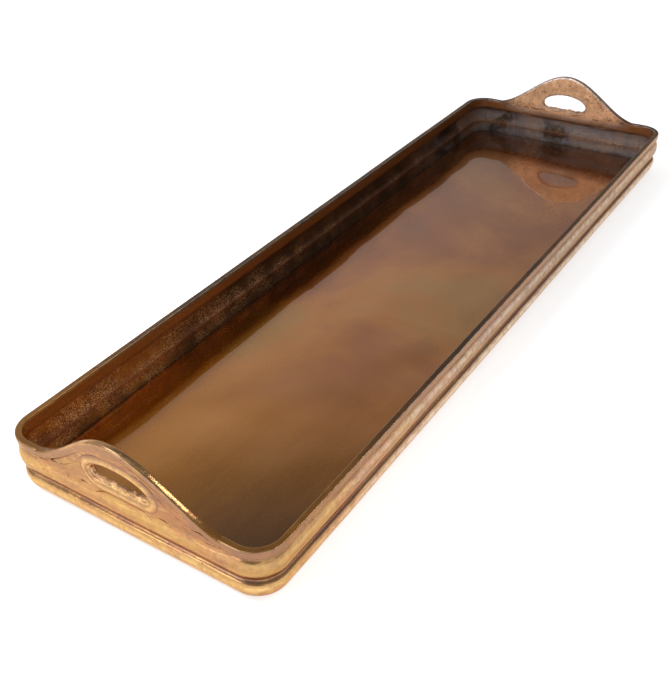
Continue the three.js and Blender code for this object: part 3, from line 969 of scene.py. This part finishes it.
def handle_rings():
    """Each ring's shape for ring_places and its marks, fixed or worked out from a place."""
    wall = [SLOT_ROUND + (THICKNESS - SLOT_ROUND - INNER_ROUND) * k / 6 for k in range(1, 6)]
    rings = [(("outer", "slot", 0.0, inset, 0.0, CRUST), SLOT_WALL_MARKS) for inset in wall[2::-1]]
    rings += [(("outer", "slot", SLOT_ROUND * away, SLOT_ROUND * (1 - up), 0.0, CRUST * (1 - up) ** 2),
               (0.6 * up, 0.3 * (1 - up), 0.42 * (1 - up), 0.35 * up)) for up, away in quarter(4)]
    # The collar's crest carries wear and a painted highlight, its outer edge painted shade.
    for mm in (2.3, 3.0, 3.8, 4.6, 5.4, 6.3, 7.2, 8.2, 9.2):
        crown = max(0.0, 1 - abs(mm - 5.4) / 3.2)
        rings.append((("outer", "slot", mm * MM, 0.0, collar_lift(mm * MM)),
                      (0.80 * crown, max(0.0, (mm - 8.4) * 0.3), 0.0, 0.42 * (1 - crown))))
    rings += [(("outer", "between", share), outer_marks)
              for share in (0.0, 0.15, 0.3, 0.45, 0.6, 0.72, 0.84, 0.93)]
    rings += [(("outer", "edge", mm * MM), outer_marks)
              for mm in (9.5, 9.0, 8.7, 8.4, 8.1, 7.7, 7.3, 6.8, 6.2, 5.6, 4.6, 3.6, 2.6)]
    rings += [(("outer", "edge", EDGE_ROUND * (1 - up), EDGE_ROUND * away), edge_marks(up))
              for up, away in quarter(4)]
    rings += [(("inner", "edge", EDGE_ROUND * away, EDGE_ROUND * (1 - up)), edge_marks(up, 0.12))
              for up, away in quarter(4)]
    rings += [(("inner", "edge", mm * MM), inner_marks) for mm in (3.0, 5.0, 7.0, 9.5)]
    rings += [(("inner", "between", share), inner_marks) for share in (0.75, 0.5, 0.3, 0.12)]
    rings += [(("inner", "slot", mm * MM), inner_marks) for mm in (9.0, 6.0, 3.5)]
    rings += [(("inner", "slot", INNER_ROUND * away, INNER_ROUND * (1 - up)), (0.4 * up, 0.2, 0.5, 0.2))
              for up, away in quarter(3)[::-1]]
    rings += [(("outer", "slot", 0.0, inset, 0.0, CRUST), SLOT_WALL_MARKS) for inset in wall[:2:-1]]
    return rings


def next_ring(bm, ring, places, marks):
    """Extrudes a closed ring of vertices by one step and moves the new ring to its places."""
    edges = [bm.edges.get((ring[i - 1], ring[i])) for i in range(len(ring))]
    result = bmesh.ops.extrude_edge_only(bm, edges=edges)
    new = set(only(bmesh.types.BMVert, result["geom"]))
    following = []
    for vert, place in zip(ring, places):
        other = next(e.other_vert(vert) for e in vert.link_edges if e.other_vert(vert) in new)
        other.co = place
        values = marks(Vector((place.y, place.z - LIP_Z))) if callable(marks) else marks
        set_marks(bm, other, values)
        following.append(other)
    return following


def add_handle(bm):
    """Grows the handle of the +X end into bm."""
    rings = handle_rings()
    first_places = ring_places(*rings[0][0])
    ring = []
    for place in first_places:
        vert = bm.verts.new(place)
        set_marks(bm, vert, rings[0][1])
        ring.append(vert)
    for i in range(len(ring)):
        bm.edges.new((ring[i - 1], ring[i]))
    for shape, marks in rings[1:]:
        ring = next_ring(bm, ring, ring_places(*shape), marks)
    next_ring(bm, ring, first_places, rings[0][1])


# %% [markdown]
# ## End castings
# The section is drawn once at the joint with the left rail, pulled to the corner, spun through it, pulled
# across the end, spun again and pulled back to the other joint. The handle joins the same mesh. The rear
# casting comes from the same pattern, turned half a turn, but wanders in its own way like a second pour.

# %% Wall of an end casting
RUN_STEPS = 10
CORNER_STEPS = 18
END_STEPS = 64
ROOM_DEPTH = 2.3 * MM
ROOM_FADE = 4.0 * MM


def add_end_wall(bm):
    centre_x, centre_y = HALF_LENGTH - CORNER_RADIUS, HALF_WIDTH - CORNER_RADIUS
    start = section_loop(bm, JOINT_X, 1)
    run = centre_x - JOINT_X
    edges = pull(bm, start, (run / RUN_STEPS, 0, 0), RUN_STEPS)
    edges = turn(bm, edges, (centre_x, centre_y, 0), -90, CORNER_STEPS)
    edges = pull(bm, edges, (0, -2 * centre_y / END_STEPS, 0), END_STEPS)
    edges = turn(bm, edges, (centre_x, -centre_y, 0), -90, CORNER_STEPS)
    edges = pull(bm, edges, (-run / RUN_STEPS, 0, 0), RUN_STEPS)
    close_end(bm, start)
    close_end(bm, edges)


def make_room(bm):
    """Sets the lip's outer face back under the handle, so that it doesn't cover the handle's crease."""
    for vert in bm.verts:
        out = vert.co.x - HALF_LENGTH
        if out < -ROOM_FADE:
            continue
        under = 1 - smooth(84 * MM, 92 * MM, abs(vert.co.y))
        high = 1 - smooth(9.0 * MM, 12.5 * MM, LIP_Z - vert.co.z)
        vert.co.x -= ROOM_DEPTH * under * high * min(1.0, 1 + out / ROOM_FADE)


def brighten_inner_lip(bm):
    """Across the end, hands keep the lip's inner face as bright as the handle's."""
    layer = bm.verts.layers.float["inner_side"]
    for vert in bm.verts:
        if vert.co.z > LIP_Z - LEDGE_DEPTH + 2.0 * MM and vert[layer] > 0.3:
            set_marks(bm, vert, inner_marks(Vector((vert.co.y, vert.co.z - LIP_Z))))


def end_casting(name, turned, material):
    bm = start_mesh()
    add_end_wall(bm)
    make_room(bm)
    brighten_inner_lip(bm)
    add_handle(bm)
    if turned:
        bmesh.ops.rotate(bm, verts=bm.verts, cent=(0, 0, 0), matrix=Matrix.Rotation(math.pi, 3, "Z"))
    settle(bm)
    obj = finish_mesh(bm, name, material)
    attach(obj, "root")
    return obj


# %% [markdown]
# ## Side rails
# A rail is the same section drawn out straight. It ends in the joints and carries a flat tongue on its foot
# at each end, which lies in the end casting's foot and keeps the joint in line.

# %% Rails
RAIL_STEPS = 200


def side_rail(name, side, material):
    bm = start_mesh()
    start = section_loop(bm, -JOINT_X, side)
    edges = pull(bm, start, (2 * JOINT_X / RAIL_STEPS, 0, 0), RAIL_STEPS)
    close_end(bm, start)
    close_end(bm, edges)
    settle(bm)
    for end in (-1, 1):
        size = (TONGUE_LENGTH + 2 * TONGUE_BURIED, TONGUE_INNER - TONGUE_OUTER, TONGUE_THICKNESS)
        middle_y = HALF_WIDTH - SIDE_DRAFT - (TONGUE_INNER + TONGUE_OUTER) / 2
        place = Vector((end * (JOINT_X + TONGUE_LENGTH / 2 - TONGUE_BURIED), side * middle_y,
                        LIP_Z - WALL_HEIGHT + TONGUE_LIFT))
        tongue = bmesh.ops.create_cube(bm, size=1.0)["verts"]
        bmesh.ops.scale(bm, verts=tongue, vec=size)
        bmesh.ops.translate(bm, verts=tongue, vec=place)
    obj = finish_mesh(bm, name, material)
    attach(obj, "root")
    return obj


# %% Castings and rails
front_casting = end_casting("front_end_casting", False, END_BRASS)
rear_casting = end_casting("rear_end_casting", True, END_BRASS)
left_rail = side_rail("left_side_rail", 1, RAIL_BRASS)
right_rail = side_rail("right_side_rail", -1, RAIL_BRASS)
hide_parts("end_casting_front")
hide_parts("end_casting_rear")
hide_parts("side_rail_left")
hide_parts("side_rail_right")

# %% [markdown]
# ## Floor plate
# A sheet this long and thin is never flat: it swells and dips by fractions of a millimetre, and its gloss
# shows it, because the reflected walls run in waves. So the plate is a fine grid whose vertices are moved
# by noise, not a flat slab with a bump. It lies on the castings' foot and stops a hair short of the walls.

# %% Floor plate
PLATE_GAP = 0.8 * MM
PLATE_TOP = LIP_Z - FLOOR_DEPTH
SWELL = 0.5 * MM
BAR_PRINT = 0.05 * MM
BAR_PRINT_REACH = 5.0 * MM
FLAT_RIM = 18.0 * MM


def sheet_swell(point):
    """The sheet's slow waves, and the faint line where the bar is soldered under it."""
    broad = noise.noise(Vector((point.x * 8.0, point.y * 10.0, 4.7)))
    tight = noise.noise(Vector((point.x * 21.0, point.y * 24.0, 9.1)))
    over_bar = math.exp(-((point.x - BAR_X) / BAR_PRINT_REACH) ** 2)
    return SWELL * (broad + 0.65 * tight) + BAR_PRINT * over_bar


def round_corner(vert, half_x, half_y, radius):
    """Draws the square corner of the grid in, so that its outer edge follows the corner's arc."""
    centre = Vector((half_x - radius, half_y - radius))
    out = Vector((abs(vert.co.x), abs(vert.co.y))) - centre
    if out.x > 0 and out.y > 0:
        reach = max(out.x, out.y)
        scaled = out * (reach / out.length)
        vert.co.x = math.copysign(centre.x + scaled.x, vert.co.x)
        vert.co.y = math.copysign(centre.y + scaled.y, vert.co.y)


def floor_plate():
    half_x = HALF_LENGTH - FLOOR_LINE_INSET - PLATE_GAP
    half_y = HALF_WIDTH - SIDE_DRAFT - FLOOR_LINE_INSET - PLATE_GAP
    radius = CORNER_RADIUS - FLOOR_LINE_INSET - PLATE_GAP
    bm = bmesh.new()
    bmesh.ops.create_grid(bm, x_segments=230, y_segments=68, size=1.0)
    bmesh.ops.scale(bm, verts=bm.verts, vec=(half_x, half_y, 1.0))
    for vert in bm.verts:
        round_corner(vert, half_x, half_y, radius)
    bottom = bmesh.ops.extrude_face_region(bm, geom=bm.faces[:])
    lowered = only(bmesh.types.BMVert, bottom["geom"])
    bmesh.ops.translate(bm, verts=lowered, vec=(0, 0, -FLOOR_THICKNESS + 0.2 * MM))
    for vert in bm.verts:
        edge = min(half_x - abs(vert.co.x), half_y - abs(vert.co.y))
        vert.co.z += PLATE_TOP - 0.1 * MM + sheet_swell(vert.co) * smooth(0.0, FLAT_RIM, edge)
    obj = finish_mesh(bm, "floor_sheet", FLOOR_PATINA)
    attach(obj, "root")
    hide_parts("floor_plate")


floor_plate()

# %% [markdown]
# ## Bar and pads
# The bar that stiffens the sheet is a plain flat bar, and the drawn part already has its shape, so it keeps
# its mesh and gets the filed finish. The pads are punched felt discs with a rounded, slightly fuzzy edge.

# %% Bar under the floor
bar = bpy.data.objects["floor_tie_bar"]
bar.data.materials.clear()
bar.data.materials.append(BAR_BRASS)
print("bar keeps", len(bar.data.polygons), "faces")

# %% Felt pads
PAD_RADIUS = 6.0 * MM
PAD_THICKNESS = 1.7 * MM
PAD_EDGE = 0.45 * MM
PAD_RIM = 1.6 * MM
PAD_FUZZ = 0.05 * MM


def felt_pad(node):
    low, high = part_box(node)
    centre = (Vector(low) + Vector(high)) / 2
    bm = bmesh.new()
    bmesh.ops.create_cone(bm, cap_ends=True, segments=48, radius1=PAD_RADIUS, radius2=PAD_RADIUS,
                          depth=PAD_THICKNESS)
    rims = [e for e in bm.edges if abs(e.verts[0].co.z - e.verts[1].co.z) < 1e-9]
    bmesh.ops.bevel(bm, geom=rims, offset=PAD_EDGE, segments=4, profile=0.5, affect="EDGES", material=-1)
    caps = [f for f in bm.faces if len(f.verts) > 4]
    bmesh.ops.inset_individual(bm, faces=caps, thickness=PAD_RIM, use_even_offset=True)
    for vert in bm.verts:
        fuzz = noise.noise(vert.co * 900.0 + centre * 50.0) * PAD_FUZZ
        vert.co.x += fuzz * vert.co.x / PAD_RADIUS
        vert.co.y += fuzz * vert.co.y / PAD_RADIUS
    bmesh.ops.translate(bm, verts=bm.verts, vec=centre)
    obj = finish_mesh(bm, node.replace("felt_pad", "wool_pad"), FELT)
    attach(obj, "root")
    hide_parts(node)


for spot in ("front", "middle", "rear"):
    for side_name in ("left", "right"):
        felt_pad(f"felt_pad_{spot}_{side_name}")

# %% [markdown]
# ## Floor of the studio, light and camera
# Polished metal shows its surroundings more than itself. A white floor gives the outer walls their even
# tan. The sky is bright straight above and again a third of the way up, with a dim band between and a dimmer
# right side, which gives the sheet its broad shine. Five area lights draw the highlights, and two of them
# are narrowed to a cone and aimed at the rear handle's edge and at the grain beside it.

# %% Studio floor
studio = bpy.data.meshes.new("studio_floor")
bm = bmesh.new()
bmesh.ops.create_grid(bm, x_segments=1, y_segments=1, size=6.0)
bm.to_mesh(studio)
bm.free()
floor_material, floor_tree, floor_shader = new_finish("studio_white")
floor_shader.inputs["Base Color"].default_value = (0.92, 0.92, 0.92, 1.0)
floor_shader.inputs["Roughness"].default_value = 0.9
floor_shader.inputs["Specular IOR Level"].default_value = 0.1
floor_shader.inputs["Emission Color"].default_value = (1.0, 1.0, 1.0, 1.0)
floor_shader.inputs["Emission Strength"].default_value = 0.66
studio.materials.append(floor_material)
studio_floor = bpy.data.objects.new("studio_floor", studio)
bpy.context.scene.collection.objects.link(studio_floor)

# %% Sky
SKY_STOPS = [(0.0, 0.50), (0.25, 0.62), (0.42, 0.68), (0.52, 0.84),
             (0.60, 0.74), (0.68, 0.36), (0.84, 0.36), (1.0, 1.0)]


def studio_sky():
    """A world brighter to the left; its stops are (sine of the height, brightness)."""
    world = bpy.data.worlds.new("studio_sky")
    world.use_nodes = True
    tree = world.node_tree
    coords = tree.nodes.new("ShaderNodeTexCoord")
    split = tree.nodes.new("ShaderNodeSeparateXYZ")
    tree.links.new(coords.outputs["Generated"], split.inputs["Vector"])
    colour = tones(tree, split.outputs["Z"], [(spot, (v, v, v)) for spot, v in SKY_STOPS])
    background = tree.nodes["Background"]
    tree.links.new(colour, background.inputs["Color"])
    left_share = spread(tree, split.outputs["Y"], 0.22, 0.60, 0.60, 1.05)
    tree.links.new(left_share, background.inputs["Strength"])
    bpy.context.scene.world = world


studio_sky()
print("sky stops", len(SKY_STOPS))

# %% Area lights
def soft_light(name, place_at, towards, size, power, *, tint=(1.0, 1.0, 1.0), cone=180):
    """An area light at a place, aimed at a point of the tray; cone narrows its beam, in degrees."""
    data = bpy.data.lights.new(name, "AREA")
    data.shape = "RECTANGLE"
    data.size, data.size_y = size
    data.energy = power
    data.color = tint
    data.spread = math.radians(cone)
    light = bpy.data.objects.new(name, data)
    light.location = place_at
    light.rotation_euler = (Vector(towards) - Vector(place_at)).to_track_quat("-Z", "Y").to_euler()
    bpy.context.scene.collection.objects.link(light)


soft_light("front_light", (-2.3, 0.9, 0.50), (-0.2, 0, 0.05), (1.0, 0.8), 9.0, tint=(0.97, 0.98, 1.0))
soft_light("corner_light", (-1.8, -1.75, 0.40), (-0.4, -0.1, 0.03), (0.6, 0.6), 1.2)
soft_light("handle_light", (0.555, -1.06, 1.50), (-0.41, -0.06, 0.08), (0.70, 0.50), 0.15,
           tint=(1.0, 0.90, 0.68), cone=16)
soft_light("grain_light", (-0.10, -0.85, 0.95), (-0.31, 0.13, 0.03), (0.3, 0.2), 0.07, cone=24)
soft_light("far_light", (-0.62, 0.60, 1.15), (0.40, 0.0, 0.03), (0.9, 0.5), 8.0, tint=(0.74, 0.86, 1.0))
print("lights", len(bpy.data.lights))

# %% Camera
CAMERA_PLACE = Vector((-0.72395, -0.41656, 0.51688))
CAMERA_AZIMUTH = math.radians(-54.73)
CAMERA_ELEVATION = math.radians(34.46)
CAMERA_ROLL = math.radians(-3.17)
CAMERA_LENS = 50.23


def camera_turn(azimuth, elevation, roll):
    """Rotation of a camera that looks down by elevation and is rolled about its own axis."""
    level = Matrix.Rotation(azimuth, 3, "Z") @ Matrix.Rotation(math.pi / 2 - elevation, 3, "X")
    return level @ Matrix.Rotation(roll, 3, "Z")


camera_data = bpy.data.cameras.new("camera")
camera_data.lens = CAMERA_LENS
camera_data.sensor_width = 36.0
camera = bpy.data.objects.new("camera", camera_data)
camera.location = CAMERA_PLACE
camera.rotation_euler = camera_turn(CAMERA_AZIMUTH, CAMERA_ELEVATION, CAMERA_ROLL).to_euler()
bpy.context.scene.collection.objects.link(camera)
bpy.context.scene.camera = camera
bpy.context.scene.view_settings.view_transform = "Standard"
print("camera at", [round(v, 3) for v in CAMERA_PLACE])
